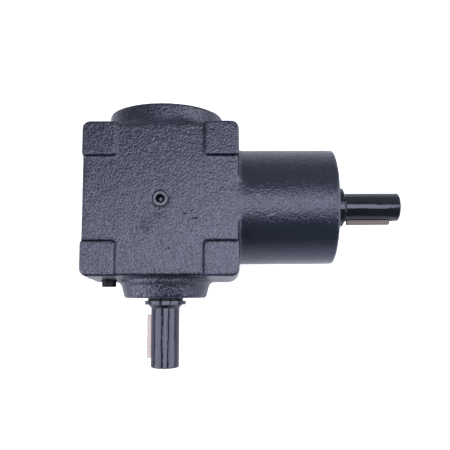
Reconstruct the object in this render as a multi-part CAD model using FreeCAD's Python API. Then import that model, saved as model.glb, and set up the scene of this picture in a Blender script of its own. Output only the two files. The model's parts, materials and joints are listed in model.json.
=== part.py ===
import FreeCAD, Part
import math
import os

# Right angle gearbox: a cast iron box with two keyed shafts that meet at a pair of
# equal bevel gears. All lengths are in millimetres and all angles in degrees.
# The input shaft lies along +X and the output shaft along -Y. The origin is on the
# plane of the rear pads, straight below the point where the two shaft axes cross.

V = FreeCAD.Vector

# Keyed shaft ends, an inch in diameter
shaft_end_radius = 12.7
shaft_end_chamfer = 1.0
end_key_width = 6.35
end_key_length = 38.1
end_key_depth = 3.175          # how far the key sits in the shaft
input_key_setback = 8.35       # key to the end of the shaft
output_key_setback = 8.45
input_key_inset = 1.8          # taper beside the bearing's journal to the key
output_key_inset = 5.75

# Cast box
body_width = 129.5             # across X at the front and rear faces
body_height = 128.2            # across Y at the front and rear faces
body_depth = 105.2             # front face to rear face
body_centre_x = 0.85
body_centre_y = 0.8
body_wall = 11.0
body_face_wall = 9.0
chamber_corner_radius = 15.0
body_corner_radius = 5.0
body_edge_radius = 2.0
draft_angle = 5.2              # the box is widest at its parting plane
barrel_side_draft_angle = 0.5  # the side with the barrel is nearly square to the faces
pad_size = 28.7
pad_height = 2.5
pad_side_step = 0.8
pad_inner_radius = 2.5
pad_corner_depth = 26.0
pad_edge_chamfer = 0.8

# Barrel round the input shaft, boss over the output shaft, and lower bearing boss
barrel_radius = 51.7
barrel_reach = 150.1
barrel_root = 2.0
boss_radius = 51.7
boss_reach = 82.4
boss_root = 2.5
lower_boss_end_radius = 36.5
lower_boss_reach = 82.0
lower_boss_taper = 14.3
lower_boss_root = 2.5
rim_chamfer = 1.1

# Straight bevel gears of equal size
gear_teeth = 20
gear_module = 3.6
pressure_angle = 20.0
gear_face_width = 16.0
gear_backlash = 0.35
tooth_clearance = 0.25         # root clearance as a share of the module
gear_hub_radius = 24.0
gear_hub_length = 9.0          # pitch circle to the back of the hub
gear_room = 2.6                # gears to the walls beside them
cone_angle = 45.0              # equal gears on shafts at a right angle
gap_tool_overrun = 0.1         # share by which the tooth gap tool is longer than a tooth, at each end
shim_thickness = 1.0

# Cylindrical roller bearings, one rib on each ring, in mirrored pairs
input_bearing_bore = 35.0
input_bearing_outside = 80.0
input_bearing_width = 21.0
input_race_radius = 23.1       # inner race
input_roller_diameter = 12.0
input_roller_count = 10
output_bearing_bore = 30.0
output_bearing_outside = 62.0
output_bearing_width = 16.0
output_race_radius = 18.75
output_roller_diameter = 9.0
output_roller_count = 10
bearing_rib_width = 3.2
bearing_rib_height = 3.0
bearing_shoulder = 3.0         # in the lower boss, behind the bearing

# Shafts inside the box
input_collar_radius = 22.0
input_gear_seat_radius = 14.0
pinion_ring_thickness = 1.5
pinion_ring_height = 3.4       # ring's outside above its shaft
pinion_ring_margin = 2.2       # ring's groove to the inner end of the input shaft
journal_step = 9.8             # input barrel's end to the end of the large journal
journal_taper_length = 2.7
output_collar_radius = 19.0
output_gear_seat_radius = 16.0
output_top_end_clearance = 0.8
output_journal_margin = 0.3    # ring's groove to the end of the journal under it
output_taper_length = 2.9
gear_key_depth_share = 0.5
pinion_key_width = 8.0
pinion_key_height = 7.0
crown_key_width = 10.0
crown_key_height = 8.0
gear_key_length = 13.0

# Seals, sleeve and retaining rings
input_seal_width = 10.0
output_seal_width = 8.0
seal_recess = 0.8
seal_case_wall = 2.2
seal_lip_height = 3.6
sleeve_radius = 15.75
sleeve_stand_out = 2.3         # end of the lower boss to the end of the sleeve
housing_ring_thickness = 2.5
cover_ring_thickness = 3.0
housing_ring_depth = 2.2       # groove in the bore
housing_ring_width = 5.0
shaft_ring_thickness = 3.4
shaft_ring_depth = 0.8         # groove in the shaft
shaft_ring_outer_radius = 18.4
ring_gap_angle = 24.0
ring_ear_radius = 3.4
ring_ear_inset = 1.0           # free edge of the ring to the middle of its ear
ring_ear_hole_radius = 1.0

# End cover in the boss
cover_radius = 44.0
cover_step = 3.0               # shoulder that the cover rests on
cover_floor = 6.0
cover_relief = 1.0             # keeps the cover off the turning inner ring
cover_relief_radius = 23.0
cover_rim_wall = 9.0
cover_ring_setback = 3.4       # cover's ring to the end of the boss
cover_seal_width = 4.0
cover_seal_depth = 2.6

# Plugs and mounting holes
fill_plug_x = 0.9
fill_plug_y = 0.26
fill_plug_radius = 6.6
fill_plug_length = 8.0
fill_plug_hex = 6.35
fill_plug_hex_depth = 5.0
fill_plug_recess = 0.6
vent_plug_x = -46.8
vent_plug_rise = 20.0          # above the shaft axes
vent_plug_head_radius = 6.1
vent_plug_head_height = 5.9
vent_plug_stem_radius = 4.5
vent_plug_flange_radius = 6.8
vent_plug_flange_height = 1.4
base_hole_spacing = 100.0
base_hole_radius = 4.25
base_hole_depth = 16.0
drill_point_share = 0.5        # length of the drill's point in hole radii
quarter_turn = 90.0

# Clearances
seat_gap = 0.02                # between parts that are pressed or screwed together
running_gap = 0.04             # between parts that turn past each other
free_gap = 0.5                 # beside parts that turn in the open
overcut = 1.0                  # how far a cutting tool runs past what it cuts

# Heights and reaches that follow from the sizes above
shaft_height = body_depth / 2 + pad_height
draft_slope = math.tan(math.radians(draft_angle))
barrel_side_slope = math.tan(math.radians(barrel_side_draft_angle))
half_depth = body_depth / 2
body_low_x = body_centre_x - body_width / 2
body_high_x = body_centre_x + body_width / 2
body_low_y = body_centre_y - body_height / 2
body_high_y = body_centre_y + body_height / 2
chamber_low_y = body_low_y + body_wall + lower_boss_root

pitch_radius = gear_module * gear_teeth / 2
cone_distance = pitch_radius / math.sin(math.radians(cone_angle))
addendum = gear_module
dedendum = gear_module * (1 + tooth_clearance)
gear_outer_radius = pitch_radius + addendum * math.cos(math.radians(cone_angle))
gear_heel = pitch_radius + dedendum * math.sin(math.radians(cone_angle))
toe_scale = (cone_distance - gear_face_width) / cone_distance
gear_front = toe_scale * pitch_radius
gear_back = pitch_radius + gear_hub_length
gear_room_reach = gear_heel + gear_room

# Input shaft: what lies where along X
pinion_ring_inner = gear_front - pinion_ring_thickness
input_shaft_inner_end = pinion_ring_inner - pinion_ring_margin
input_inner_bearing_start = gear_back + shim_thickness
input_inner_bearing_end = input_inner_bearing_start + input_bearing_width
input_seal_outer = barrel_reach - seal_recess
input_seal_inner = input_seal_outer - input_seal_width
input_outer_bearing_end = input_seal_inner - free_gap - housing_ring_thickness
input_outer_bearing_start = input_outer_bearing_end - input_bearing_width
input_journal_end = barrel_reach + journal_step
input_journal_radius = input_bearing_bore / 2
input_key_start = input_journal_end + journal_taper_length + input_key_inset
input_key_end = input_key_start + end_key_length
input_shaft_reach = input_key_end + input_key_setback

# Output shaft: what lies where along Y, measured towards -Y for the lower end
lower_seal_outer = lower_boss_reach - seal_recess
lower_seal_inner = lower_seal_outer - output_seal_width
lower_bearing_start = lower_seal_inner - free_gap - housing_ring_thickness
lower_bearing_end = lower_bearing_start - output_bearing_width
sleeve_end = lower_boss_reach + sleeve_stand_out
output_journal_reach = sleeve_end + shaft_ring_thickness + output_journal_margin
output_key_start = output_journal_reach + output_taper_length + output_key_inset
output_key_end = output_key_start + end_key_length
output_shaft_reach = output_key_end + output_key_setback
upper_bearing_start = gear_back + shim_thickness
upper_bearing_end = upper_bearing_start + output_bearing_width
cover_seat = upper_bearing_start
cover_ring_outer = boss_reach - cover_ring_setback
cover_top = cover_ring_outer - cover_ring_thickness
output_journal_radius = output_bearing_bore / 2

# Keys under the gears, in the side where the hubs have their keyways
pinion_key_start = gear_front + free_gap
pinion_key_end = pinion_key_start + gear_key_length
pinion_key_side = V(0, 1, 0)
crown_key_start = pinion_key_start
crown_key_end = pinion_key_end
crown_key_side = V(0, 0, -1)


def along_input(position, radius):
    """A point beside the input shaft's axis."""
    return V(position, radius, shaft_height)


def along_output(position, radius):
    """A point beside the output shaft's axis."""
    return V(radius, position, shaft_height)


def flat_face(points):
    """A flat face through its corners."""
    return Part.Face(Part.makePolygon(points + points[:1]))


def turned(points, axis, angle=360):
    """The solid that a closed outline makes when it is turned round a shaft axis."""
    place = along_input if axis == "input" else along_output
    direction = V(1, 0, 0) if axis == "input" else V(0, 1, 0)
    corners = [place(position, radius) for position, radius in points]
    solid = flat_face(corners).revolve(V(0, 0, shaft_height), direction, angle)
    if solid.Volume < 0:
        solid.reverse()
    return solid


def tube(axis, start, end, inner, outer):
    """A plain ring between two places on a shaft axis."""
    return turned([(start, inner), (end, inner), (end, outer), (start, outer)], axis)


def rod(axis, start, end, radius):
    """A plain cylinder between two places on a shaft axis."""
    return turned([(start, 0), (end, 0), (end, radius), (start, radius)], axis)


def rotated(shape, centre, direction, angle):
    """A copy of a shape, turned about a line."""
    copy = shape.copy()
    copy.rotate(centre, direction, angle)
    return copy


def save(name, shapes):
    """Write one named piece."""
    shapes = shapes if isinstance(shapes, list) else [shapes]
    solids = [solid for shape in shapes for solid in shape.Solids]
    piece = solids[0] if len(solids) == 1 else Part.makeCompound(solids)
    piece.exportStep(os.path.join("parts", name + ".step"))


def rounded_outline(low_x, high_x, low_y, high_y, radius, height):
    """A rectangle with round corners, in a plane across Z."""
    corners = [(high_x, high_y, 1, 1), (low_x, high_y, -1, 1), (low_x, low_y, -1, -1), (high_x, low_y, 1, -1)]
    slant = radius * (1 - math.sqrt(0.5))
    edges = []
    last = None
    first = None
    for number, (x, y, side_x, side_y) in enumerate(corners):
        beside = V(x - side_x * radius, y, height)
        under = V(x, y - side_y * radius, height)
        middle = V(x - side_x * slant, y - side_y * slant, height)
        start, end = (under, beside) if number % 2 == 0 else (beside, under)
        if last is not None:
            edges.append(Part.LineSegment(last, start).toShape())
        first = first or start
        edges.append(Part.Arc(start, middle, end).toShape())
        last = end
    edges.append(Part.LineSegment(last, first).toShape())
    return Part.Wire(edges)


def drafted_box(grow, reach, corner_radius):
    """A box that is widest at the parting plane, and the edges round its front and rear faces."""
    sections = []
    for side in (-1, 0, 1):
        depth = half_depth - abs(side) * reach
        out = grow + depth * draft_slope
        sections.append(
            rounded_outline(
                body_low_x - out,
                body_high_x + grow + depth * barrel_side_slope,
                body_low_y - out,
                body_high_y + out,
                corner_radius + out,
                shaft_height + side * reach,
            )
        )
    box = Part.makeLoft(sections, True, True)
    rims = [
        edge
        for edge in box.Edges
        if all(abs(abs(vertex.Z - shaft_height) - reach) < 0.001 for vertex in edge.Vertexes)
    ]
    return box, rims


def corner_pads():
    """Eight corner blocks that stand proud of the faces round them."""
    envelope, rims = drafted_box(pad_side_step, half_depth + pad_height, body_corner_radius + pad_side_step)
    envelope = envelope.makeChamfer(pad_edge_chamfer, rims)
    far = pad_size + 2 * pad_side_step + body_depth * draft_slope
    pads = []
    for side_x in (-1, 1):
        for side_y in (-1, 1):
            edge_x = body_high_x if side_x > 0 else body_low_x
            edge_y = body_high_y if side_y > 0 else body_low_y
            inner_x = edge_x + side_x * (pad_side_step - pad_size)
            inner_y = edge_y + side_y * (pad_side_step - pad_size)
            outer_x = inner_x + side_x * far
            outer_y = inner_y + side_y * far
            for side_z in (-1, 1):
                near_z = shaft_height + side_z * (half_depth - pad_corner_depth)
                far_z = shaft_height + side_z * (half_depth + pad_height + overcut)
                block = Part.makeBox(
                    abs(outer_x - inner_x),
                    abs(outer_y - inner_y),
                    abs(far_z - near_z),
                    V(min(inner_x, outer_x), min(inner_y, outer_y), min(near_z, far_z)),
                )
                inner_edges = [
                    edge
                    for edge in block.Edges
                    if all(math.hypot(v.X - inner_x, v.Y - inner_y) < 0.001 for v in edge.Vertexes)
                ]
                block = block.makeFillet(pad_inner_radius, inner_edges)
                pads.append(envelope.common(block))
    return pads


def round_boss(axis, inside, face, end, radius, root):
    """A cast cylinder on one side of the box, with a chamfered rim and a sloped root."""
    rim = [(end - rim_chamfer, radius), (end, radius - rim_chamfer)]
    core = turned([(inside, 0), (inside, radius)] + rim + [(end, 0)], axis)
    foot = radius + root
    root_end = face + root
    slope = turned([(inside, 0), (inside, foot), (face, foot), (root_end, radius), (root_end, 0)], axis)
    flat = half_depth - body_edge_radius
    wide = 4 * boss_reach
    slab = Part.makeBox(wide, wide, 2 * flat, V(-wide / 2, -wide / 2, shaft_height - flat))
    return core.fuse(slope.common(slab))


def lower_boss():
    """The tapered boss round the lower output bearing."""
    taper = math.tan(math.radians(lower_boss_taper))
    face = -body_low_y
    root = face + half_depth * draft_slope + lower_boss_root
    root_radius = lower_boss_end_radius + (lower_boss_reach - root) * taper
    foot = root_radius + lower_boss_root
    outline = [
        (lower_boss_root - face, 0),
        (lower_boss_root - face, foot),
        (lower_boss_root - root, foot),
        (-root, root_radius),
        (rim_chamfer - lower_boss_reach, lower_boss_end_radius + rim_chamfer * taper),
        (-lower_boss_reach, lower_boss_end_radius - rim_chamfer),
        (-lower_boss_reach, 0),
    ]
    return turned(outline, "output")


def drilled_hole(centre, direction, radius, depth):
    """A blind hole with the cone that a drill leaves."""
    straight = Part.makeCylinder(radius, depth + overcut, centre - direction * overcut, direction)
    cone = Part.makeCone(radius, 0, radius * drill_point_share, centre + direction * depth, direction)
    return straight.fuse(cone)


def gear_chamber():
    """The room for the two gears inside the box."""
    reach = half_depth - body_face_wall
    outline = rounded_outline(
        body_low_x + body_wall,
        gear_room_reach,
        chamber_low_y,
        gear_room_reach,
        chamber_corner_radius,
        shaft_height - reach,
    )
    return Part.Face(outline).extrude(V(0, 0, 2 * reach))


def vent_wall_y():
    """Where the lower side of the box stands, at the height of the vent plug."""
    return body_low_y - (half_depth - vent_plug_rise) * draft_slope


def housing():
    """The cast box with its barrel, bosses, pads, bores and tapped holes."""
    box, rims = drafted_box(0, half_depth, body_corner_radius)
    shape = box.makeFillet(body_edge_radius, rims)
    barrel = round_boss("input", gear_room_reach, body_high_x, barrel_reach, barrel_radius, barrel_root)
    boss = round_boss("output", body_high_y - boss_root, body_high_y, boss_reach, boss_radius, boss_root)
    shape = shape.fuse(corner_pads() + [barrel, boss, lower_boss()])
    shape = shape.removeSplitter()

    input_bore = input_bearing_outside / 2 + seat_gap
    output_bore = output_bearing_outside / 2 + seat_gap
    cover_bore = cover_radius + seat_gap
    inner = gear_room_reach - overcut
    pinion_way = gear_outer_radius + free_gap
    crown_way = cover_radius - cover_step
    input_groove_end = input_outer_bearing_end + housing_ring_thickness
    output_groove_end = -lower_bearing_start - housing_ring_thickness
    cuts = [
        gear_chamber(),
        rod("input", inner, input_inner_bearing_start + overcut, pinion_way),
        rod("input", input_inner_bearing_start, barrel_reach + overcut, input_bore),
        rod("input", input_outer_bearing_end, input_groove_end, input_bore + housing_ring_depth),
        rod("output", inner, cover_seat + overcut, crown_way),
        rod("output", cover_seat, boss_reach + overcut, cover_bore),
        rod("output", cover_top, cover_ring_outer, cover_bore + housing_ring_depth),
        rod("output", -lower_boss_reach - overcut, -lower_bearing_end, output_bore),
        rod("output", -lower_boss_reach, chamber_low_y + overcut, output_bore - bearing_shoulder),
        rod("output", output_groove_end, -lower_bearing_start, output_bore + housing_ring_depth),
    ]

    front = shaft_height + half_depth
    plug_axis = V(0, 0, -1)
    plug_place = V(fill_plug_x, fill_plug_y, front + overcut)
    cuts.append(
        Part.makeCylinder(fill_plug_radius + seat_gap, body_face_wall + 2 * overcut, plug_place, plug_axis)
    )
    cuts.append(
        Part.makeCone(
            fill_plug_radius + fill_plug_recess + overcut,
            fill_plug_radius,
            fill_plug_recess + overcut,
            plug_place,
            plug_axis,
        )
    )
    vent_face = V(vent_plug_x, vent_wall_y(), shaft_height + vent_plug_rise)
    inwards = V(0, 1, 0)
    hole_length = body_wall + lower_boss_root + 2 * overcut
    cuts.append(
        Part.makeCylinder(vent_plug_stem_radius + seat_gap, hole_length, vent_face, inwards)
    )
    spot = vent_plug_flange_radius + free_gap
    spot_length = 2 * vent_plug_flange_height
    cuts.append(Part.makeCylinder(spot, spot_length, vent_face - inwards * spot_length, inwards))
    for side_x in (-1, 1):
        for side_y in (-1, 1):
            centre = V(side_x * base_hole_spacing / 2, side_y * base_hole_spacing / 2, 0)
            cuts.append(drilled_hole(centre, V(0, 0, 1), base_hole_radius, base_hole_depth))
    return shape.cut(cuts)


def fill_plug():
    """A socket headed pipe plug, sunk in the front face."""
    top = shaft_height + half_depth - fill_plug_recess
    place = V(fill_plug_x, fill_plug_y, top)
    chamfer = fill_plug_recess
    neck = place - V(0, 0, chamfer)
    body = Part.makeCylinder(fill_plug_radius, fill_plug_length - chamfer, neck, V(0, 0, -1))
    rim = Part.makeCone(fill_plug_radius, fill_plug_radius - chamfer, chamfer, neck, V(0, 0, 1))
    corner = fill_plug_hex / 2 / math.cos(math.radians(30))
    hexagon = [
        place + V(corner * math.cos(math.radians(60 * i)), corner * math.sin(math.radians(60 * i)), 0)
        for i in range(6)
    ]
    socket = flat_face(hexagon).extrude(V(0, 0, -fill_plug_hex_depth))
    return body.fuse(rim).cut(socket).removeSplitter()


def vent_plug():
    """A round headed plug with a thin flange, in the lower side of the box."""
    wall = vent_wall_y()
    place = V(vent_plug_x, wall, shaft_height + vent_plug_rise)
    down = V(0, -1, 0)
    flange = Part.makeCylinder(vent_plug_flange_radius, vent_plug_flange_height, place, down)
    head = Part.makeCylinder(vent_plug_head_radius, vent_plug_head_height, place, down)
    stem = Part.makeCylinder(vent_plug_stem_radius, body_wall - overcut, place, V(0, 1, 0))
    return flange.fuse([head, stem]).removeSplitter()


def involute(angle):
    """The involute of an angle in radians."""
    return math.tan(angle) - angle


def gap_outline():
    """The gap between two teeth on the back cone, as (distance, half angle) from root to tip.

    The back cone rolled flat is a spur gear with more teeth, so the flank is its involute.
    """
    virtual_radius = cone_distance
    virtual_teeth = gear_teeth / math.cos(math.radians(cone_angle))
    flank = math.radians(pressure_angle)
    base = virtual_radius * math.cos(flank)
    tooth_half = math.pi / 2 / virtual_teeth - gear_backlash / 4 / virtual_radius

    def half_gap(distance):
        slope = math.acos(min(1.0, base / distance))
        tooth = tooth_half + involute(flank) - involute(slope)
        return math.pi / virtual_teeth - tooth

    root = virtual_radius - dedendum
    tip = virtual_radius + addendum
    start = max(base, root)
    steps = 3
    outline = [(root, half_gap(start))] if root < base else []
    for step in range(steps + 1):
        distance = start + (tip - start) * step / steps
        outline.append((distance, half_gap(distance)))
    over = tip + gear_module / 2
    outline.append((over, half_gap(over)))
    return outline


def bevel_gear(bore_radius, key_width, key_top, phase):
    """A straight bevel gear on +Z with its apex at the origin."""
    slant = math.radians(cone_angle)
    heel_root = (pitch_radius - dedendum * math.cos(slant), pitch_radius + dedendum * math.sin(slant))
    heel_tip = (pitch_radius + addendum * math.cos(slant), pitch_radius - addendum * math.sin(slant))
    toe_tip = (heel_tip[0] * gear_front / heel_tip[1], gear_front)
    outline = [
        (bore_radius, gear_front),
        toe_tip,
        heel_tip,
        heel_root,
        (gear_hub_radius, heel_root[1]),
        (gear_hub_radius, gear_back),
        (bore_radius, gear_back),
    ]
    corners = [V(radius, 0, height) for radius, height in outline]
    blank = flat_face(corners).revolve(V(0, 0, 0), V(0, 0, 1), 360)
    if blank.Volume < 0:
        blank.reverse()

    back_apex = cone_distance / math.cos(slant)
    side = []
    for distance, angle in gap_outline():
        across = distance * math.sin(angle)
        out = distance * math.cos(angle)
        side.append((out * math.sin(slant), across, back_apex - out * math.cos(slant)))
    mirrored = [(x, -y, z) for x, y, z in reversed(side)]
    loop = side + mirrored
    near = [V(x, y, z) * (toe_scale * (1 - gap_tool_overrun)) for x, y, z in loop]
    far = [V(x, y, z) * (1 + gap_tool_overrun) for x, y, z in loop]
    faces = [flat_face(near), flat_face(far)]
    for number in range(len(loop)):
        following = (number + 1) % len(loop)
        faces.append(flat_face([near[number], near[following], far[following], far[number]]))
    tool = Part.Solid(Part.Shell(faces))
    tools = [
        rotated(tool, V(0, 0, 0), V(0, 0, 1), phase + 360.0 * number / gear_teeth)
        for number in range(gear_teeth)
    ]
    keyway = Part.makeBox(key_width, key_top, gear_back, V(-key_width / 2, 0, gear_front - overcut))
    return blank.cut(tools + [keyway])


def pinion_gear():
    """The gear on the input shaft, with a tooth in the line where the gears meet."""
    key_top = input_gear_seat_radius + pinion_key_height * (1 - gear_key_depth_share) + seat_gap
    bore = input_gear_seat_radius + seat_gap
    half_pitch = 180.0 / gear_teeth
    gear = bevel_gear(bore, pinion_key_width + 2 * seat_gap, key_top, half_pitch + quarter_turn)
    gear.rotate(V(0, 0, 0), V(0, 1, 0), quarter_turn)
    gear.translate(V(0, 0, shaft_height))
    return gear


def crown_gear():
    """The gear on the output shaft, with a gap in the line where the gears meet."""
    key_top = output_gear_seat_radius + crown_key_height * (1 - gear_key_depth_share) + seat_gap
    bore = output_gear_seat_radius + seat_gap
    gear = bevel_gear(bore, crown_key_width + 2 * seat_gap, key_top, 0)
    gear.rotate(V(0, 0, 0), V(1, 0, 0), -quarter_turn)
    gear.translate(V(0, 0, shaft_height))
    return gear


def bearing(axis, start, way, bore, outside, width, race, roller_diameter, count):
    """Outer ring, inner ring and rollers of a roller bearing.

    start is the side where the inner ring has its rib, and way is +1 or -1 from there to the side
    where the outer ring has its rib, so that the pair of bearings holds the shaft both ways.
    """
    outer_race = race + roller_diameter
    rib = bearing_rib_width
    end = start + way * width
    outer_outline = [
        (start, outside / 2),
        (end, outside / 2),
        (end, outer_race - bearing_rib_height),
        (end - way * rib, outer_race - bearing_rib_height),
        (end - way * rib, outer_race),
        (start, outer_race),
    ]
    inner_outline = [
        (start, bore / 2 + seat_gap),
        (end, bore / 2 + seat_gap),
        (end, race),
        (start + way * rib, race),
        (start + way * rib, race + bearing_rib_height),
        (start, race + bearing_rib_height),
    ]
    direction = V(1, 0, 0) if axis == "input" else V(0, 1, 0)
    place = along_input if axis == "input" else along_output
    roller_start = place(start + way * (rib + running_gap), race + roller_diameter / 2)
    roller_length = width - 2 * rib - 2 * running_gap
    roller_radius = roller_diameter / 2 - running_gap
    roller = Part.makeCylinder(roller_radius, roller_length, roller_start, direction * way)
    rollers = [
        rotated(roller, V(0, 0, shaft_height), direction, 360.0 * number / count)
        for number in range(count)
    ]
    return turned(outer_outline, axis), turned(inner_outline, axis), rollers


def key_seat(end, start, surface_radius, depth, width, direction, across):
    """The cut in a shaft for a key: a slot with round ends, seen from the key's side.

    end and start are places along the shaft, direction is the shaft's and across is the key's side.
    """
    length = abs(end - start)
    way = direction if end > start else direction * -1
    floor = surface_radius - depth
    centre = V(0, 0, shaft_height) + direction * start + across * floor
    height = depth + overcut
    beside = way.cross(across)
    slot = Part.makeCylinder(width / 2, height, centre, across)
    slot = slot.fuse(Part.makeCylinder(width / 2, height, centre + way * length, across))
    corner = centre - beside * (width / 2)
    run = way * length
    side = beside * width
    bar = flat_face([corner, corner + run, corner + run + side, corner + side]).extrude(across * height)
    return slot.fuse(bar).removeSplitter()


def key_bar(start, end, floor, height, width, direction, across):
    """A square ended key on a shaft."""
    beside = direction.cross(across)
    corner = V(0, 0, shaft_height) + direction * start + across * floor - beside * (width / 2)
    run = direction * (end - start)
    side = beside * width
    return flat_face([corner, corner + run, corner + run + side, corner + side]).extrude(across * height)


def ring_groove(axis, start, end, surface_radius, depth):
    """The cut in a shaft for a retaining ring."""
    return tube(axis, start, end, surface_radius - depth, surface_radius + overcut)


def input_shaft():
    """The input shaft: gear seat, two bearing journals with a collar between them, and keyed end."""
    taper_end = input_journal_end + journal_taper_length
    outline = [
        (input_shaft_inner_end, 0),
        (input_shaft_inner_end, input_gear_seat_radius - shaft_end_chamfer),
        (input_shaft_inner_end + shaft_end_chamfer, input_gear_seat_radius),
        (input_inner_bearing_start, input_gear_seat_radius),
        (input_inner_bearing_start, input_journal_radius),
        (input_inner_bearing_end, input_journal_radius),
        (input_inner_bearing_end, input_collar_radius),
        (input_outer_bearing_start, input_collar_radius),
        (input_outer_bearing_start, input_journal_radius),
        (input_journal_end, input_journal_radius),
        (taper_end, shaft_end_radius),
        (input_shaft_reach - shaft_end_chamfer, shaft_end_radius),
        (input_shaft_reach, shaft_end_radius - shaft_end_chamfer),
        (input_shaft_reach, 0),
    ]
    cuts = [
        input_key_cut(end_key_width + 2 * seat_gap),
        key_seat(
            pinion_key_start + pinion_key_width / 2,
            pinion_key_end - pinion_key_width / 2,
            input_gear_seat_radius,
            pinion_key_height * gear_key_depth_share + seat_gap,
            pinion_key_width + 2 * seat_gap,
            V(1, 0, 0),
            pinion_key_side,
        ),
        ring_groove("input", pinion_ring_inner, gear_front, input_gear_seat_radius, shaft_ring_depth),
    ]
    return turned(outline, "input").cut(cuts)


def input_key_cut(width):
    """The seat of the key on the input shaft's outer end."""
    start = input_key_start
    end = input_key_end
    return key_seat(start, end, shaft_end_radius, end_key_depth + seat_gap, width, V(1, 0, 0), V(0, -1, 0))


def output_key_cut(width):
    """The seat of the key on the output shaft's outer end."""
    start = -output_key_start
    end = -output_key_end
    return key_seat(start, end, shaft_end_radius, end_key_depth + seat_gap, width, V(0, 1, 0), V(-1, 0, 0))


def input_shaft_key():
    """The square key that stands out of the input shaft."""
    floor = shaft_end_radius - end_key_depth
    size = end_key_width
    return key_bar(input_key_start, input_key_end, floor, size, size, V(1, 0, 0), V(0, -1, 0))


def output_shaft_key():
    """The square key that stands out of the output shaft."""
    floor = shaft_end_radius - end_key_depth
    size = end_key_width
    return key_bar(-output_key_end, -output_key_start, floor, size, size, V(0, 1, 0), V(-1, 0, 0))


def pinion_key():
    """The key under the pinion gear."""
    top = input_gear_seat_radius + pinion_key_height * (1 - gear_key_depth_share)
    size = (pinion_key_height, pinion_key_width)
    return round_key(pinion_key_start, pinion_key_end, top, size, V(1, 0, 0), pinion_key_side)


def crown_key():
    """The key under the crown gear."""
    top = output_gear_seat_radius + crown_key_height * (1 - gear_key_depth_share)
    size = (crown_key_height, crown_key_width)
    return round_key(crown_key_start, crown_key_end, top, size, V(0, 1, 0), crown_key_side)


def round_key(start, end, top, size, direction, across):
    """A round ended key. It is the shape of its seat without the part that the seat's cut runs over."""
    height, width = size
    first = start + width / 2
    last = end - width / 2
    return key_seat(first, last, top - overcut, height - overcut, width, direction, across)


def output_shaft():
    """The output shaft: top journal, gear seat, collar, lower journal and keyed end."""
    top = upper_bearing_end - output_top_end_clearance
    taper_start = -output_journal_reach - output_taper_length
    outline = [
        (-output_shaft_reach, 0),
        (-output_shaft_reach, shaft_end_radius - shaft_end_chamfer),
        (-output_shaft_reach + shaft_end_chamfer, shaft_end_radius),
        (taper_start, shaft_end_radius),
        (-output_journal_reach, output_journal_radius),
        (-lower_bearing_end, output_journal_radius),
        (-lower_bearing_end, output_collar_radius),
        (gear_front, output_collar_radius),
        (gear_front, output_gear_seat_radius),
        (gear_back - free_gap, output_gear_seat_radius),
        (gear_back - free_gap, output_journal_radius),
        (top, output_journal_radius),
        (top, 0),
    ]
    ring_start = -sleeve_end - shaft_ring_thickness
    cuts = [
        output_key_cut(end_key_width + 2 * seat_gap),
        key_seat(
            crown_key_start + crown_key_width / 2,
            crown_key_end - crown_key_width / 2,
            output_gear_seat_radius,
            crown_key_height * gear_key_depth_share + seat_gap,
            crown_key_width + 2 * seat_gap,
            V(0, 1, 0),
            crown_key_side,
        ),
        ring_groove("output", ring_start, -sleeve_end, output_journal_radius, shaft_ring_depth),
    ]
    return turned(outline, "output").cut(cuts)


def oil_seal(axis, outer_face, inner_face, case_radius, lip_radius):
    """A lip seal: metal case, rubber web set back from its outer face, and sloped lip."""
    way = 1 if outer_face > inner_face else -1
    web = outer_face - way * seal_recess
    outline = [
        (inner_face, case_radius),
        (outer_face, case_radius),
        (outer_face, case_radius - seal_case_wall),
        (web, case_radius - seal_case_wall),
        (web, lip_radius + seal_lip_height),
        (web - way * seal_lip_height / 2, lip_radius),
        (inner_face, lip_radius),
    ]
    return turned(outline, axis)


def bore_ring(start, end, axis, bore_radius, gap_side):
    """An internal retaining ring in a groove of a bore, open at an angle round the axis."""
    outer = bore_radius + housing_ring_depth
    inner = outer - housing_ring_width
    return open_ring(axis, start, end, inner, outer, inner + ring_ear_inset, gap_side)


def shaft_ring(start, end, axis, groove_radius, outer, gap_side):
    """An external retaining ring in a groove of a shaft, open at an angle round the axis."""
    ring = open_ring(axis, start, end, groove_radius, outer, outer - ring_ear_inset, gap_side)
    return ring.cut(rod(axis, start - overcut, end + overcut, groove_radius + seat_gap))


def open_ring(axis, start, end, inner, outer, ear_reach, gap_side):
    """A flat spring ring with a gap, and an ear with a hole on each side of the gap."""
    direction = V(1, 0, 0) if axis == "input" else V(0, 1, 0)
    place = along_input if axis == "input" else along_output
    centre = V(0, 0, shaft_height)
    thickness = end - start
    middle = place(start, ear_reach)
    ear = Part.makeCylinder(ring_ear_radius, thickness, middle, direction)
    hole = Part.makeCylinder(
        ring_ear_hole_radius, thickness + 2 * overcut, middle - direction * overcut, direction
    )
    ear_turn = ring_gap_angle / 2 + math.degrees(ring_ear_radius / ear_reach)
    ears = [rotated(ear, centre, direction, side * ear_turn) for side in (-1, 1)]
    holes = [rotated(hole, centre, direction, side * ear_turn) for side in (-1, 1)]
    ring = tube(axis, start, end, inner + seat_gap, outer - seat_gap).fuse(ears)

    base = place(start - overcut, 0)
    ray = place(0, 2 * outer) - centre
    corners = [base]
    for side in (-1, 1):
        turn = FreeCAD.Rotation(direction, side * ring_gap_angle / 2)
        corners.append(base + turn.multVec(ray))
    opening = flat_face(corners).extrude(direction * (thickness + 2 * overcut))
    ring = ring.cut([opening] + holes).removeSplitter()
    return rotated(ring, centre, direction, gap_side)


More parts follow.
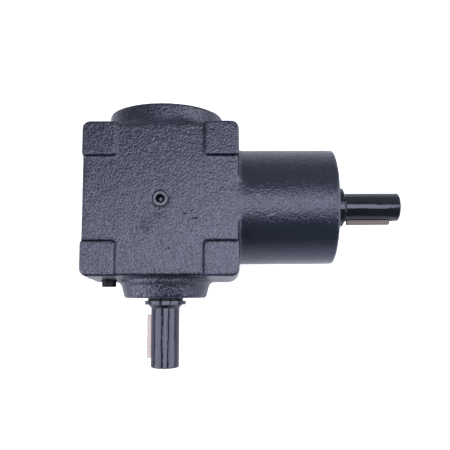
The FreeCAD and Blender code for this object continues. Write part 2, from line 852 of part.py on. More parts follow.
def end_cover():
    """The turned cover over the top output bearing, dished outside, with a groove for its seal."""
    cup_radius = output_bearing_outside / 2 + seat_gap
    dish = cover_radius - cover_rim_wall
    floor = upper_bearing_end + cover_floor
    groove_start = (cover_seat + upper_bearing_end) / 2 - cover_seal_width / 2
    groove = cover_radius - cover_seal_depth
    outline = [
        (cover_seat, cup_radius),
        (cover_seat, cover_radius),
        (groove_start, cover_radius),
        (groove_start, groove),
        (groove_start + cover_seal_width, groove),
        (groove_start + cover_seal_width, cover_radius),
        (cover_top, cover_radius),
        (cover_top, dish),
        (floor, dish),
        (floor, 0),
        (upper_bearing_end + cover_relief, 0),
        (upper_bearing_end + cover_relief, cover_relief_radius),
        (upper_bearing_end, cover_relief_radius),
        (upper_bearing_end, cup_radius),
    ]
    return turned(outline, "output")


def end_cover_seal():
    """The square ring that seals the end cover in its bore."""
    start = (cover_seat + upper_bearing_end) / 2 - cover_seal_width / 2
    inner = cover_radius - cover_seal_depth + seat_gap
    return tube("output", start + seat_gap, start + cover_seal_width - seat_gap, inner, cover_radius)


def save_bearing(name, axis, back, way, sizes):
    """Write the three pieces of a bearing."""
    outer_ring, inner_ring, rollers = bearing(axis, back, way, *sizes)
    save(name + "_bearing_outer_ring", outer_ring)
    save(name + "_bearing_inner_ring", inner_ring)
    save(name + "_bearing_rollers", rollers)


def main():
    os.makedirs("parts", exist_ok=True)
    save("housing", housing())
    save("fill_plug", fill_plug())
    save("vent_plug", vent_plug())

    save("input_shaft", input_shaft())
    save("input_shaft_key", input_shaft_key())
    save("pinion_gear", pinion_gear())
    save("pinion_key", pinion_key())
    save("output_shaft", output_shaft())
    save("output_shaft_key", output_shaft_key())
    save("crown_gear", crown_gear())
    save("crown_key", crown_key())

    shim_outer = gear_hub_radius
    seat = input_gear_seat_radius + seat_gap
    save("pinion_shim", tube("input", gear_back, input_inner_bearing_start, seat, shim_outer))
    seat = output_gear_seat_radius + seat_gap
    save("crown_gear_shim", tube("output", gear_back, upper_bearing_start, seat, shim_outer))
    groove = input_gear_seat_radius - shaft_ring_depth
    ring_outer = input_gear_seat_radius + pinion_ring_height
    save("pinion_retaining_ring", shaft_ring(pinion_ring_inner, gear_front, "input", groove, ring_outer, 0))

    input_sizes = (
        input_bearing_bore,
        input_bearing_outside,
        input_bearing_width,
        input_race_radius,
        input_roller_diameter,
        input_roller_count,
    )
    output_sizes = (
        output_bearing_bore,
        output_bearing_outside,
        output_bearing_width,
        output_race_radius,
        output_roller_diameter,
        output_roller_count,
    )
    save_bearing("input_inner", "input", input_inner_bearing_end, -1, input_sizes)
    save_bearing("input_outer", "input", input_outer_bearing_start, 1, input_sizes)
    save_bearing("output_lower", "output", -lower_bearing_end, -1, output_sizes)
    save_bearing("output_upper", "output", upper_bearing_start, 1, output_sizes)

    input_bore = input_bearing_outside / 2
    output_bore = output_bearing_outside / 2
    lip = input_journal_radius + running_gap
    save("input_oil_seal", oil_seal("input", input_seal_outer, input_seal_inner, input_bore, lip))
    lip = sleeve_radius + running_gap
    save("output_oil_seal", oil_seal("output", -lower_seal_outer, -lower_seal_inner, output_bore, lip))
    sleeve_inner = output_journal_radius + seat_gap
    save("output_seal_sleeve", tube("output", -sleeve_end, -lower_bearing_start, sleeve_inner, sleeve_radius))
    start = -sleeve_end - shaft_ring_thickness
    groove = output_journal_radius - shaft_ring_depth
    ring = shaft_ring(start, -sleeve_end, "output", groove, shaft_ring_outer_radius, quarter_turn)
    save("output_shaft_retaining_ring", ring)
    end = input_outer_bearing_end + housing_ring_thickness
    ring = bore_ring(input_outer_bearing_end, end, "input", input_bore + seat_gap, quarter_turn)
    save("input_bearing_retaining_ring", ring)
    start = -lower_bearing_start - housing_ring_thickness
    ring = bore_ring(start, -lower_bearing_start, "output", output_bore + seat_gap, quarter_turn)
    save("output_bearing_retaining_ring", ring)
    save("end_cover", end_cover())
    save("end_cover_seal", end_cover_seal())
    ring = bore_ring(cover_top, cover_ring_outer, "output", cover_radius + seat_gap, -quarter_turn)
    save("end_cover_retaining_ring", ring)


main()
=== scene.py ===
import json
import math

import bpy
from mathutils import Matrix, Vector


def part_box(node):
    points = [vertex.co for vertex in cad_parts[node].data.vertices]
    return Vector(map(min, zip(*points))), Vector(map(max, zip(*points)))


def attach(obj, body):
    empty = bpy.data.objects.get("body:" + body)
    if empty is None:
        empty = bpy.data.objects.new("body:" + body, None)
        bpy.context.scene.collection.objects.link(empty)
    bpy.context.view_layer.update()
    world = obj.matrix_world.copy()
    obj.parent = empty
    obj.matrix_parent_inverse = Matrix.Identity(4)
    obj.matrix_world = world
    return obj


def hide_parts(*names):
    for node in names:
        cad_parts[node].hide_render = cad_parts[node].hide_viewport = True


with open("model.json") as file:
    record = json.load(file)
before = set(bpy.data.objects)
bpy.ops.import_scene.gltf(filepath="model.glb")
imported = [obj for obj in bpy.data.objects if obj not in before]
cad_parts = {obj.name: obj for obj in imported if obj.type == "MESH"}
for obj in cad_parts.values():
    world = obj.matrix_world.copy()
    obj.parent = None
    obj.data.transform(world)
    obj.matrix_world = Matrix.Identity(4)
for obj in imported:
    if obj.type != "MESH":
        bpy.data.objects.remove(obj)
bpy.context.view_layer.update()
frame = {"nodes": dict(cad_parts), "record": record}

# The gearbox lies on its back. Seen from its front (+Z), its input shaft points right (+X) and its output
# shaft down (-Y). Lengths on the gearbox are in mm, and places in the studio in metres.

MM = 0.001
RIGHT = (1, 0, 0)
UP = (0, 1, 0)
DOWN = (0, -1, 0)
FRONT = (0, 0, 1)

SHAFT_HEIGHT = 55.1
FILL_PLUG = (0.9, 0.26)
BODY_CENTRE = (0.85, 0.8)

# The corner pads: how far from the body's centre their inner edges are, and the radius of their corners
PAD_EDGE = (36.05, 35.4)
PAD_CORNER = 3.4

# The lower rim of the front face
LOWER_RIM = -62.9

# Dents in the front face, drawn dark as painted shade: middle, turn in degrees and length
NICKS = (
    (21.5, -12.3, -20, 5.0),
    (26.8, -9.9, 15, 2.6),
    (29.4, -16.5, 4, 7.5),
    (8.5, -41.2, -35, 2.8),
    (2.2, -34.6, 30, 1.8),
)

# Scuffs on top of the barrel: middle, turn in degrees and length
SCUFFS = (
    (92.5, -13.8, 16, 9.0),
    (82.0, 3.4, -18, 5.5),
)

# Old oil stains below the fill plug: middle and half widths
STAINS = (
    (-2.1, -13.2, 4.5, 5.5),
    (-9.7, -20.3, 6.0, 11.0),
)


# Camera, as fitted to the outlines of the object

CAMERA_PLACE = (0.06157, -0.07767, 0.56764)
CAMERA_TURN = (0.1076, 0.0117, -0.0016)
CAMERA_SHIFT = (-0.0049, 0.01568)
FOCAL_PIXELS = 565.62
PICTURE_SIZE = 450
SENSOR_WIDTH = 36
NEAR_CLIP, FAR_CLIP = 0.01, 20


def add_camera():
    bpy.ops.object.camera_add(location=CAMERA_PLACE, rotation=CAMERA_TURN)
    camera = bpy.context.object
    camera.name = "camera"
    camera.data.sensor_width = SENSOR_WIDTH
    camera.data.lens = FOCAL_PIXELS * SENSOR_WIDTH / PICTURE_SIZE
    camera.data.shift_x, camera.data.shift_y = CAMERA_SHIFT
    camera.data.clip_start = NEAR_CLIP
    camera.data.clip_end = FAR_CLIP
    bpy.context.scene.camera = camera


# Shader maths

class Wire:
    """A shader socket that can be used in sums. Each sum adds its Math node."""

    def __init__(self, finish, socket):
        self.finish = finish
        self.socket = socket

    def math(self, operation, other=0.0, clamp=False):
        settings = {"operation": operation, "use_clamp": clamp}
        return self.finish.node("ShaderNodeMath", settings, {0: self, 1: other})

    def __add__(self, other):
        return self.math("ADD", other)

    def __mul__(self, other):
        return self.math("MULTIPLY", other)

    def __sub__(self, other):
        return self.math("SUBTRACT", other)

    def __rsub__(self, other):
        return self.finish.node("ShaderNodeMath", {"operation": "SUBTRACT"}, {0: other, 1: self})

    def __truediv__(self, other):
        return self.math("DIVIDE", other)

    def __pow__(self, other):
        return self.math("POWER", other)

    __radd__ = __add__
    __rmul__ = __mul__

    def absolute(self):
        return self.math("ABSOLUTE")

    def larger(self, other):
        return self.math("MAXIMUM", other)

    def clamped(self):
        return self.math("ADD", 0.0, clamp=True)

    def between(self, low, high):
        """0 below low, 1 above high and a smooth step between them."""
        settings = {"interpolation_type": "SMOOTHSTEP"}
        return self.finish.node("ShaderNodeMapRange", settings, {0: self, 1: low, 2: high, 3: 0.0, 4: 1.0})


class Finish:
    """The shader nodes of a material, whose patterns follow Object coordinates, or of the world."""

    def __init__(self, owner):
        owner.use_nodes = True
        self.owner = owner
        self.tree = owner.node_tree
        self.tree.nodes.clear()

    def node(self, kind, settings=None, sockets=None, output=0):
        """Add a node with its settings and the values or wires of its sockets."""
        made = self.tree.nodes.new(kind)
        for key, value in (settings or {}).items():
            setattr(made, key, value)
        for key, value in (sockets or {}).items():
            if isinstance(value, Wire):
                self.tree.links.new(value.socket, made.inputs[key])
            else:
                made.inputs[key].default_value = value
        return Wire(self, made.outputs[output]) if made.outputs else None

    def place(self, turn=(0, 0, 0), stretch=(1, 1, 1)):
        """Where a point of the piece is, in metres, turned and stretched for a pattern."""
        here = self.node("ShaderNodeTexCoord", output="Object")
        if turn == (0, 0, 0) and stretch == (1, 1, 1):
            return here
        return self.node("ShaderNodeMapping", {}, {"Vector": here, "Rotation": turn, "Scale": stretch})

    def along(self, direction):
        """How far a point of the piece lies in a direction, in mm."""
        in_mm = tuple(part / MM for part in direction)
        settings = {"operation": "DOT_PRODUCT"}
        return self.node("ShaderNodeVectorMath", settings, {0: self.place(), 1: in_mm}, output=1)

    def noise(self, size, detail=2.0, rough=0.5, distortion=0.0, at=None):
        """Cloudy noise, from about 0.3 to 0.7, with lumps of the given size."""
        sockets = {
            "Vector": at or self.place(),
            "Scale": 1 / (size * MM),
            "Detail": detail,
            "Roughness": rough,
            "Distortion": distortion,
        }
        return self.node("ShaderNodeTexNoise", {"noise_dimensions": "3D"}, sockets)

    def cells(self, size):
        """Distance to the nearest of scattered points that are about the given size apart."""
        sockets = {"Vector": self.place(), "Scale": 1 / (size * MM)}
        return self.node("ShaderNodeTexVoronoi", {"feature": "F1"}, sockets)

    def blend(self, share, first, second):
        """A colour between two colours."""
        sockets = {"Factor": share, 6: (*first, 1), 7: (*second, 1)}
        return self.node("ShaderNodeMix", {"data_type": "RGBA"}, sockets, output=2)

    def bump(self, height, depth):
        """The normal of a skin on which a height of 1 stands out by the given depth."""
        return self.node("ShaderNodeBump", {}, {"Height": height, "Distance": depth * MM, "Strength": 1.0})

    def surface(self, **sockets):
        """The shader itself. Names with underscores stand for the sockets' names."""
        named = {key.replace("_", " "): value for key, value in sockets.items()}
        shader = self.node("ShaderNodeBsdfPrincipled", {}, named)
        self.node("ShaderNodeOutputMaterial", {}, {"Surface": shader})
        return self.owner


def new_finish(name):
    return Finish(bpy.data.materials.new(name))


# Enamel on the casting

# What all the coats of enamel share
PAINT = {"IOR": 1.55, "Specular_Tint": (0.74, 0.74, 1.0, 1)}

CAST_ENAMEL = (0.008, 0.0105, 0.018)
# The colour of the dust, which also serves as painted light on the front face
DUST_AND_PAINTED_LIGHT_COLOUR = (0.13, 0.13, 0.18)

# Soft borders on the casting: how far along its direction each part begins and is fully there
BARREL_FROM = (60, 72)
LOWER_BOSS_FROM = (64, 69)
FRONT_FROM = (98, 103)
SMOOTHER_COAT_FROM = (16, 26)
# The dust thickens towards the bottom of the front face, and with it a painted light
DUST_AND_PAINTED_LIGHT_FROM = (-70, 50)

# How the wormy part of the grain is turned and drawn out, and how deep the whole grain is
WORMS_TURN = (0, 0, math.radians(38))
WORMS_STRETCH = (1, 0.45, 1)
GRAIN_DEPTH = 0.64


def painted_pad_edge_shade(f, face):
    """1 in the roots of the corner pads and on the lower rim of the front face, a little ragged: painted
    shade in these creases, fainter at the sides of the upper pads.
    """
    ragged = (f.noise(4) - 0.5) * 1.6
    across = (f.along(RIGHT) - BODY_CENTRE[0]).absolute() - PAD_EDGE[0]
    along = (f.along(UP) - BODY_CENTRE[1]).absolute() - PAD_EDGE[1]
    beside = (PAD_CORNER - across).larger(0)
    below = (PAD_CORNER - along).larger(0)
    inside = PAD_CORNER - (beside * beside + below * below) ** 0.5 + ragged
    edge = 1 - inside.absolute().between(0.3, 1.3)
    fainter = (along - across).between(0.0, 2) * f.along(UP).between(-2, 2)
    rim = 1 - (f.along(UP) + ragged - LOWER_RIM).absolute().between(0.5, 1.5)
    return face * (edge * (1 - fainter * 0.7)).larger(rim * 0.9)


def nick(f, x, y, turn, length):
    """1 inside a short dent or scuff, with a soft edge."""
    turn = math.radians(turn)
    right = (math.cos(turn), math.sin(turn), 0)
    up = (-math.sin(turn), math.cos(turn), 0)
    along = f.along(right) - (x * right[0] + y * right[1])
    across = f.along(up) - (x * up[0] + y * up[1])
    ends = (along.absolute() / length).between(0.3, 0.55)
    return (1 - ends) * (1 - across.absolute().between(0.4, 1.1))


def stain(f, x, y, width, height):
    """1 in the middle of a stain, fading out unevenly."""
    across = (f.along(RIGHT) - x) / width
    along = (f.along(UP) - y) / height
    radius = (across * across + along * along) ** 0.5 + (f.noise(4) - 0.5) * 1.5
    return 1 - radius.between(0.4, 1.2)


def cast_enamel():
    """Dark blue enamel over the grain of a sand casting, with dust and oil stains on its front face,
    painted shade in the roots of its pads, on its lower rim and in its dents, and painted light that makes
    the face lighter towards the bottom.
    """
    f = new_finish("cast_enamel")
    barrel = f.along(RIGHT).between(*BARREL_FROM)
    lower_boss = f.along(DOWN).between(*LOWER_BOSS_FROM)
    top = f.along(FRONT).between(*FRONT_FROM)
    face = top * (1 - barrel)

    slant = f.place(WORMS_TURN, WORMS_STRETCH)
    worms = 1 - (f.noise(2.2, 1.0, 0.5, 0.8, at=slant) - 0.5).absolute() * 6
    grains = f.noise(1.8, 1.0)
    specks = f.noise(1.3, 1.0) * barrel * 0.6
    swelling = f.noise(9) * (0.4 - barrel * 0.3) + f.cells(17).between(0.04, 0.10) * 0.2
    scuffs = (nick(f, *SCUFFS[0]) + nick(f, *SCUFFS[1])) * top * barrel
    height = worms.clamped() * 0.20 + grains * 0.72 + specks + swelling + scuffs * 0.4
    smoother = barrel * f.along(DOWN).between(*SMOOTHER_COAT_FROM)
    steepness = 1 - barrel * 0.36 - smoother * 0.3 + lower_boss * 0.4

    # Painted shade in the roots of the pads, on the lower rim and in the dents of the front face
    painted_shade = painted_pad_edge_shade(f, face)
    for mark in NICKS:
        painted_shade = painted_shade.larger(nick(f, *mark) * face * 0.9)
    oil = (stain(f, *STAINS[0]) + stain(f, *STAINS[1])).clamped() * face
    specks_of_dust = f.noise(1.1, 2.0, 0.6).between(0.50, 0.66)
    # Dust on the face, more towards the bottom: real specks of dust, and painted light that makes the
    # lower face lighter
    dust = face * (0.15 + f.along(DOWN).between(*DUST_AND_PAINTED_LIGHT_FROM) * 0.7) * (0.2 + specks_of_dust * 0.8)
    dust_and_painted_light = (dust * (1 - painted_shade) * (1 - oil * 0.5) + scuffs * 0.7).clamped()

    # A metal of so dark a colour reflects very little, so Metallic makes the painted shade and the oil
    # stains black
    return f.surface(
        Base_Color=f.blend(dust_and_painted_light * 0.5, CAST_ENAMEL, DUST_AND_PAINTED_LIGHT_COLOUR),
        Metallic=painted_shade * 0.85 + oil * 0.28,
        Roughness=0.17 + f.noise(6) * 0.08 + dust_and_painted_light * 0.12 - lower_boss * 0.08,
        Normal=f.bump(height * steepness, GRAIN_DEPTH),
        **PAINT,
    )


# Enamel on turned steel

ENAMEL = (0.010, 0.011, 0.018)
SHAFT_ENAMEL = (0.005, 0.006, 0.010)
COVER_ENAMEL = (0.017, 0.019, 0.03)
BLACK_ENAMEL = (0.005, 0.005, 0.007)
PLUG_ENAMEL = (0.03, 0.03, 0.04)
ENAMEL_DUST = (0.09, 0.09, 0.11)
# The painted shade in the fill plug's socket
PAINTED_SOCKET_SHADE = (0.006, 0.007, 0.009)

# How much a run of enamel is drawn out along a shaft
INPUT_RUNS = (0.05, 1, 1)
OUTPUT_RUNS = (1, 0.05, 1)

# The soft outer and inner edge of the ring of painted shade in the fill plug's socket
SOCKET_SHADE_OUTSIDE = (4.1, 4.7)
SOCKET_SHADE_INSIDE = (1.6, 2.2)


def gloss_enamel(name, colour=ENAMEL, rough=0.06, runs=None, level=0.5):
    """Smooth dark enamel on turned steel, with faint runs where a stretch is given."""
    f = new_finish(name)
    film = f.noise(4)
    dust = f.noise(0.8, 2.0, 0.6).between(0.66, 0.76)
    height = film + f.noise(1.3, 1.0) * 0.12
    if runs:
        height = height + f.noise(1.7, 1.0, at=f.place(stretch=runs)) * 1.3
    return f.surface(
        Base_Color=f.blend(dust * 0.5, colour, ENAMEL_DUST),
        Roughness=rough + film * 0.08 + dust * 0.15,
        Normal=f.bump(height, 0.14),
        Specular_IOR_Level=level,
        **PAINT,
    )


def plug_enamel():
    """Enamel on the fill plug, with a ring of painted shade round its middle for the shade in its socket.
    """
    f = new_finish("plug_enamel")
    across = f.along(RIGHT) - FILL_PLUG[0]
    along = f.along(UP) - FILL_PLUG[1]
    radius = (across * across + along * along) ** 0.5 + f.noise(3, 1.0) * 1.2
    socket_shade = (1 - radius.between(*SOCKET_SHADE_OUTSIDE)) * radius.between(*SOCKET_SHADE_INSIDE)
    return f.surface(
        Base_Color=f.blend(socket_shade, PLUG_ENAMEL, PAINTED_SOCKET_SHADE),
        Metallic=socket_shade,
        Roughness=0.22 + socket_shade * 0.3,
        Normal=f.bump(f.noise(2.5, 1.0), 0.3),
        **PAINT,
    )


# Bare steel and rubber

SPRING_STEEL = (0.05, 0.05, 0.06)
GEAR_STEEL = (0.46, 0.46, 0.47)
BEARING_STEEL = (0.62, 0.62, 0.63)
KEY_STEEL = (0.46, 0.40, 0.425)
# The key steel darkened as painted shade, for the key on the shaded underside of the input shaft
SHADED_KEY_STEEL = (0.115, 0.092, 0.098)
SEAL_RUBBER = (0.010, 0.010, 0.011)
SEAL_BLOOM = (0.03, 0.03, 0.03)
OILY_SHADE = 0.62
RUST_SHADE = 0.35


def darker(colour, shade):
    return tuple(part * shade for part in colour)


def machined_steel(name, colour, rough, size=0.6, depth=0.02):
    """Bare steel with fine tool marks, darker where it is oily."""
    f = new_finish(name)
    marks = f.noise(size, 3.0, 0.6)
    oily = f.noise(6, 3.0, 0.6).between(0.4, 0.7)
    return f.surface(
        Base_Color=f.blend(oily * 0.7, colour, darker(colour, OILY_SHADE)),
        Metallic=1.0,
        Roughness=rough + marks * 0.16 + oily * 0.10,
        Normal=f.bump(marks, depth),
    )


def key_steel(name, colour):
    """Drawn key steel, dull and slightly pink, with specks of rust."""
    f = new_finish(name)
    marks = f.noise(0.9, 3.0, 0.6)
    rust = f.noise(1.6, 3.0, 0.7).between(0.55, 0.66)
    return f.surface(
        Base_Color=f.blend(rust * 0.6, colour, darker(colour, RUST_SHADE)),
        Metallic=0.35,
        Roughness=0.55 + marks * 0.15,
        Normal=f.bump(marks, 0.1),
    )


def seal_rubber():
    """Black nitrile rubber with a faint bloom."""
    f = new_finish("seal_rubber")
    bloom = f.noise(3.5, 3.0, 0.6).between(0.4, 0.75)
    return f.surface(
        Base_Color=f.blend(bloom * 0.5, SEAL_RUBBER, SEAL_BLOOM),
        Roughness=0.48 + bloom * 0.2,
        Normal=f.bump(f.noise(0.9), 0.04),
    )


def make_finishes():
    return {
        "cast": cast_enamel(),
        "gloss": gloss_enamel("gloss_enamel"),
        "input_shaft": gloss_enamel("input_shaft_enamel", SHAFT_ENAMEL, runs=INPUT_RUNS),
        "output_shaft": gloss_enamel("output_shaft_enamel", SHAFT_ENAMEL, runs=OUTPUT_RUNS),
        "cover": gloss_enamel("cover_enamel", COVER_ENAMEL, 0.22),
        "pale_key": key_steel("key_steel", KEY_STEEL),
        # A darker copy of the key steel: painted shade for the input key
        "shaded_key": key_steel("shaded_key_steel", SHADED_KEY_STEEL),
        "plug": plug_enamel(),
        "vent": gloss_enamel("vent_enamel", BLACK_ENAMEL, 0.16, level=0.08),
        "spring": machined_steel("spring_steel", SPRING_STEEL, 0.16, size=2, depth=0.5),
        "gear": machined_steel("gear_steel", GEAR_STEEL, 0.26),
        "bearing": machined_steel("bearing_steel", BEARING_STEEL, 0.14),
        "rubber": seal_rubber(),
    }


# Modelling

# Points closer than this are one point
MERGE_REACH = 0.002

# Angles between faces, in degrees. Below FLAT_ANGLE they merge, and above EDGE_ANGLE their edge is eased.
# Below SMOOTH_ANGLE, or on the casting CAST_SMOOTH_ANGLE, their edge is shaded smooth.
FLAT_ANGLE = 0.5
EDGE_ANGLE = 32
SMOOTH_ANGLE = 35
CAST_SMOOTH_ANGLE = 60


def held(value):
    """The value, held between 0 and 1."""
    return max(0.0, min(1.0, value))


def deselect():
    if bpy.context.object is not None and bpy.context.object.mode != "OBJECT":
        bpy.ops.object.mode_set(mode="OBJECT")
    bpy.ops.object.select_all(action="DESELECT")


def pick(piece):
    deselect()
    piece.select_set(True)
    bpy.context.view_layer.objects.active = piece


def apply_modifier(piece, kind, **settings):
    """Add a modifier, set it and apply it."""
    pick(piece)
    modifier = piece.modifiers.new(kind.lower(), kind)
    for key, value in settings.items():
        setattr(modifier, key, value)
    bpy.ops.object.modifier_apply(modifier=modifier.name)


def copy_of(node, name):
    """A merged copy of a CAD solid's mesh, without its material, to be worked on."""
    source = frame["nodes"][node]
    piece = bpy.data.objects.new(name, source.data.copy())
    piece.data.name = name
    bpy.context.scene.collection.objects.link(piece)
    piece.data.materials.clear()
    pick(piece)
    bpy.ops.object.mode_set(mode="EDIT")
    bpy.ops.mesh.select_all(action="SELECT")
    bpy.ops.mesh.remove_doubles(threshold=MERGE_REACH * MM)
    bpy.ops.object.mode_set(mode="OBJECT")
    bpy.ops.mesh.customdata_custom_splitnormals_clear()
    return piece


def finish_piece(piece, body, node, material, smooth_angle=SMOOTH_ANGLE):
    """Give a piece its material and its body, and hide the CAD node that it stands for."""
    pick(piece)
    bpy.ops.object.shade_smooth_by_angle(angle=math.radians(smooth_angle))
    piece.data.materials.append(material)
    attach(piece, body)
    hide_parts(node)


def eased_copy(node, name, width):
    """A copy of a CAD solid with its sharp edges eased."""
    piece = copy_of(node, name)
    bpy.ops.object.mode_set(mode="EDIT")
    bpy.ops.mesh.select_all(action="SELECT")
    bpy.ops.mesh.dissolve_limited(angle_limit=math.radians(FLAT_ANGLE))
    bpy.ops.object.mode_set(mode="OBJECT")
    apply_modifier(
        piece,
        "BEVEL",
        width=width * MM,
        segments=2,
        limit_method="ANGLE",
        angle_limit=math.radians(EDGE_ANGLE),
        harden_normals=False,
    )
    return piece


# The casting

VOXEL = 1.6
SOFTENING_PASSES = 3
BLENDING_PASSES = 50

# Round skins: number of the shaft's axis, radius and where the skin starts and ends
ROUND_SKINS = (
    (0, 51.7, 69, 148.6),
    (1, 51.7, 70, 81.0),
)

# How far off the true radius a point still counts as skin, and how much nearer it counts fully
SKIN_REACH = 0.8
SKIN_FADE = 0.25

# Where the barrel and the boss run into the front face: name, middle and half widths of the blend
BLENDS = (
    ("barrel_blend", (66, 1.5), (12, 21)),
    ("boss_blend", (0, 68), (38, 5)),
)

# The height at which a blend begins, and how much higher it is fully there
BLEND_FLOOR = 98
BLEND_RISE = 7

# Unevenness of the skin: name, size of its lumps and how far it moves the skin
UNEVENNESS = (
    ("swell", 16, 0.3),
    ("grain", 3.6, 0.16),
)

# The share of each move that goes inwards
SUNK_SHARE = 0.8


def round_off(piece, axis, radius, start, end):
    """Set the skin of the barrel or the boss to a true cylinder round its shaft."""
    for vertex in piece.data.vertices:
        place = vertex.co / MM
        across = Vector((place[1 - axis], place[2] - SHAFT_HEIGHT))
        off = radius - across.length
        if abs(off) > SKIN_REACH:
            continue
        fade = (SKIN_REACH - abs(off)) / SKIN_FADE
        share = held(min(place[axis] - start, end - place[axis], fade))
        shift = across.normalized() * off * share * MM
        vertex.co[1 - axis] += shift[0]
        vertex.co[2] += shift[1]


def nearness(place, middle, half):
    """1 in the middle half of a blend, fading to 0 at its sides and below the front face."""
    share = held((place[2] - BLEND_FLOOR) / BLEND_RISE)
    for axis in range(2):
        share *= held(2 - 2 * abs(place[axis] - middle[axis]) / half[axis])
    return share


def blend_root(piece, name, middle, half):
    """Smooth the root where the barrel or the boss runs into the front face."""
    group = piece.vertex_groups.new(name=name)
    for vertex in piece.data.vertices:
        weight = nearness(vertex.co / MM, middle, half)
        if weight > 0:
            group.add([vertex.index], weight, "REPLACE")
    apply_modifier(piece, "SMOOTH", factor=0.5, iterations=BLENDING_PASSES, vertex_group=name)


def roughen(piece, name, size, move):
    """Push the skin in and out, mostly in."""
    texture = bpy.data.textures.new(name, "CLOUDS")
    texture.noise_scale = size * MM
    texture.noise_depth = 2
    apply_modifier(
        piece,
        "DISPLACE",
        texture=texture,
        strength=move * MM,
        mid_level=SUNK_SHARE,
        texture_coords="LOCAL",
    )


def keep_inside(piece, lowest, highest):
    """Hold the uneven skin inside the box of the CAD solid, so that the feet stay flat."""
    for vertex in piece.data.vertices:
        for axis in range(3):
            vertex.co[axis] = max(lowest[axis], min(highest[axis], vertex.co[axis]))


def cast_housing():
    """The casting: soft edges, blended roots and an uneven skin."""
    piece = copy_of("housing", "cast_housing")
    exact = copy_of("housing", "exact_housing")
    piece.data.remesh_voxel_size = VOXEL * MM
    pick(piece)
    bpy.ops.object.voxel_remesh()
    apply_modifier(piece, "SHRINKWRAP", target=exact, wrap_method="NEAREST_SURFACEPOINT")
    bpy.data.objects.remove(exact)
    apply_modifier(piece, "SMOOTH", factor=0.5, iterations=SOFTENING_PASSES)
    for skin in ROUND_SKINS:
        round_off(piece, *skin)
    for blend in BLENDS:
        blend_root(piece, *blend)
    for layer in UNEVENNESS:
        roughen(piece, *layer)
    keep_inside(piece, *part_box("housing"))
    return piece


# Slots and finishes

CAST = "enamelled_casting"
PAINTED = "painted_steel"
KEY = "bare_key_steel"
SPRING = "spring_steel"
GEAR = "gear_steel"
BEARING = "bearing_steel"
RUBBER = "seal_rubber"

# CAD node, name of the piece that stands for it, body, slot, finish and width of its eased edges
EASED = (
    ("input_shaft", "keyed_input_shaft", "input_shaft", PAINTED, "input_shaft", 0.35),
    ("input_shaft_key", "input_key_bar", "input_shaft", KEY, "shaded_key", 0.25),
    ("output_shaft", "keyed_output_shaft", "output_shaft", PAINTED, "output_shaft", 0.35),
    ("output_shaft_key", "output_key_bar", "output_shaft", KEY, "pale_key", 0.25),
    ("output_seal_sleeve", "seal_sleeve", "output_shaft", PAINTED, "vent", 0.3),
    ("output_shaft_retaining_ring", "shaft_snap_ring", "output_shaft", SPRING, "gloss", 0.25),
    ("fill_plug", "socket_fill_plug", "housing", PAINTED, "plug", 0.2),
    ("vent_plug", "round_vent_plug", "housing", PAINTED, "vent", 0.5),
    ("input_oil_seal", "input_lip_seal", "housing", RUBBER, "rubber", 0.3),
    ("output_oil_seal", "output_lip_seal", "housing", RUBBER, "rubber", 0.3),
    ("end_cover", "dished_end_cover", "housing", PAINTED, "cover", 0.5),
    ("end_cover_retaining_ring", "cover_snap_ring", "housing", SPRING, "spring", 0.3),
)

FINISH_OF_SLOT = {
    CAST: "cast",
    PAINTED: "gloss",
    KEY: "pale_key",
    SPRING: "spring",
    GEAR: "gear",
    BEARING: "bearing",
    RUBBER: "rubber",
}


def dress_cad_nodes(finishes):
    """Give each CAD solid the finish of its slot. Those that no piece stands for are shown as they are."""
    slots = {row["node"]: row["material_slot"] for row in frame["record"]["subparts"]}
    for name, node in frame["nodes"].items():
        node.data.materials.clear()
        node.data.materials.append(finishes[FINISH_OF_SLOT[slots[name]]])


def make_pieces(finishes):
    """The pieces of the gearbox that can be seen, each in place of its CAD solid."""
    finish_piece(cast_housing(), "housing", "housing", finishes["cast"], CAST_SMOOTH_ANGLE)
    for node, name, body, slot, finish, width in EASED:
        piece = eased_copy(node, name, width)
        finish_piece(piece, body, node, finishes[finish])
        apply_modifier(piece, "WEIGHTED_NORMAL", mode="FACE_AREA", weight=100, keep_sharp=True)


# Studio, in metres

# Softboxes: name, place, size, level of their glow and shape
SOFTBOXES = (
    ("top_softbox", (0.13, 0.01, 1.05), (0.84, 0.72), 3.9, "ELLIPSE"),
    ("left_softbox", (-0.80, -0.48, 0.66), (0.95, 1.10), 4.2, "RECTANGLE"),
    ("low_left_softbox", (-0.92, -0.46, 0.27), (0.32, 0.36), 6.5, "RECTANGLE"),
    ("right_softbox", (0.90, 0.00, 0.60), (0.86, 1.30), 4.3, "RECTANGLE"),
)

# Where along X the softboxes lean to
AIM_X = 0.04

WHITE = (1, 1, 1, 1)

# The studio's level, how much lighter it is at +Y, and the soft borders of that side and of the horizon
STUDIO_LEVEL = 0.10
BACK_LEVEL = 0.4
BACK_FROM = (0.15, 0.75)
HORIZON_TO = (0.02, 0.14)

FLOOR_SIZE = 8
FLOOR_COLOUR = (0.57, 0.58, 0.66, 1)
FLOOR_GLOW = 0.66


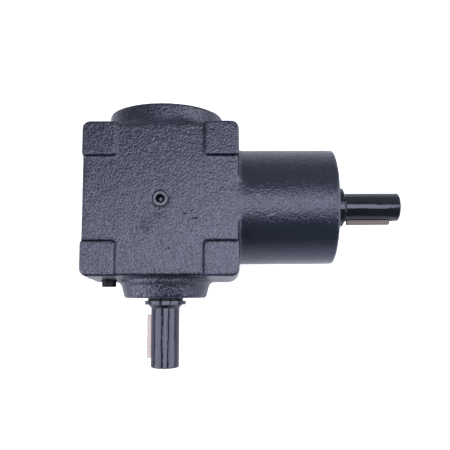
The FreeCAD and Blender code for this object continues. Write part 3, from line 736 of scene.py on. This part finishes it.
def add_softbox(name, place, size, level, shape):
    """A softbox that leans towards the object, with one pair of edges along Y."""
    lean = math.atan2(place[0] - AIM_X, place[2] - SHAFT_HEIGHT * MM)
    bpy.ops.object.light_add(type="AREA", location=place, rotation=(0, lean, 0))
    light = bpy.context.object
    light.name = name
    light.data.shape = shape
    light.data.size, light.data.size_y = size
    light.data.energy = level * math.pi * size[0] * size[1]


def add_world():
    """White to the camera, else a dark studio, lighter at +Y, with a white horizon in reflections."""
    world = bpy.data.worlds.new("studio")
    bpy.context.scene.world = world
    f = Finish(world)
    direction = f.node("ShaderNodeTexCoord", output="Generated")
    upwards = f.node("ShaderNodeSeparateXYZ", {}, {0: direction}, output=2)
    backwards = f.node("ShaderNodeSeparateXYZ", {}, {0: direction}, output=1)
    horizon = 1 - upwards.between(*HORIZON_TO)
    camera_ray = f.node("ShaderNodeLightPath", output="Is Camera Ray")
    glossy_ray = f.node("ShaderNodeLightPath", output="Is Glossy Ray")
    glass_ray = f.node("ShaderNodeLightPath", output="Is Transmission Ray")
    white = (camera_ray + (glossy_ray + glass_ray) * horizon).clamped()
    studio = STUDIO_LEVEL + backwards.between(*BACK_FROM) * BACK_LEVEL
    strength = studio * (1 - white) + white
    shade = f.node("ShaderNodeBackground", {}, {"Color": WHITE, "Strength": strength})
    f.node("ShaderNodeOutputWorld", {}, {"Surface": shade})


def add_floor():
    """A pale floor that keeps the object's shadow and looks almost white to the camera."""
    bpy.ops.mesh.primitive_plane_add(size=FLOOR_SIZE, location=(0, 0, 0))
    floor = bpy.context.object
    floor.name = "floor"
    f = new_finish("pale_floor")
    camera_ray = f.node("ShaderNodeLightPath", output="Is Camera Ray")
    paint = f.node("ShaderNodeBsdfDiffuse", {}, {"Color": FLOOR_COLOUR})
    glow = f.node("ShaderNodeEmission", {}, {"Color": WHITE, "Strength": camera_ray * FLOOR_GLOW})
    both = f.node("ShaderNodeAddShader", {}, {0: paint, 1: glow})
    f.node("ShaderNodeOutputMaterial", {}, {"Surface": both})
    floor.data.materials.append(f.owner)


add_camera()
finishes = make_finishes()
dress_cad_nodes(finishes)
make_pieces(finishes)
add_world()
add_floor()
for softbox in SOFTBOXES:
    add_softbox(*softbox)
deselect()
bpy.context.scene.view_settings.view_transform = "Standard"
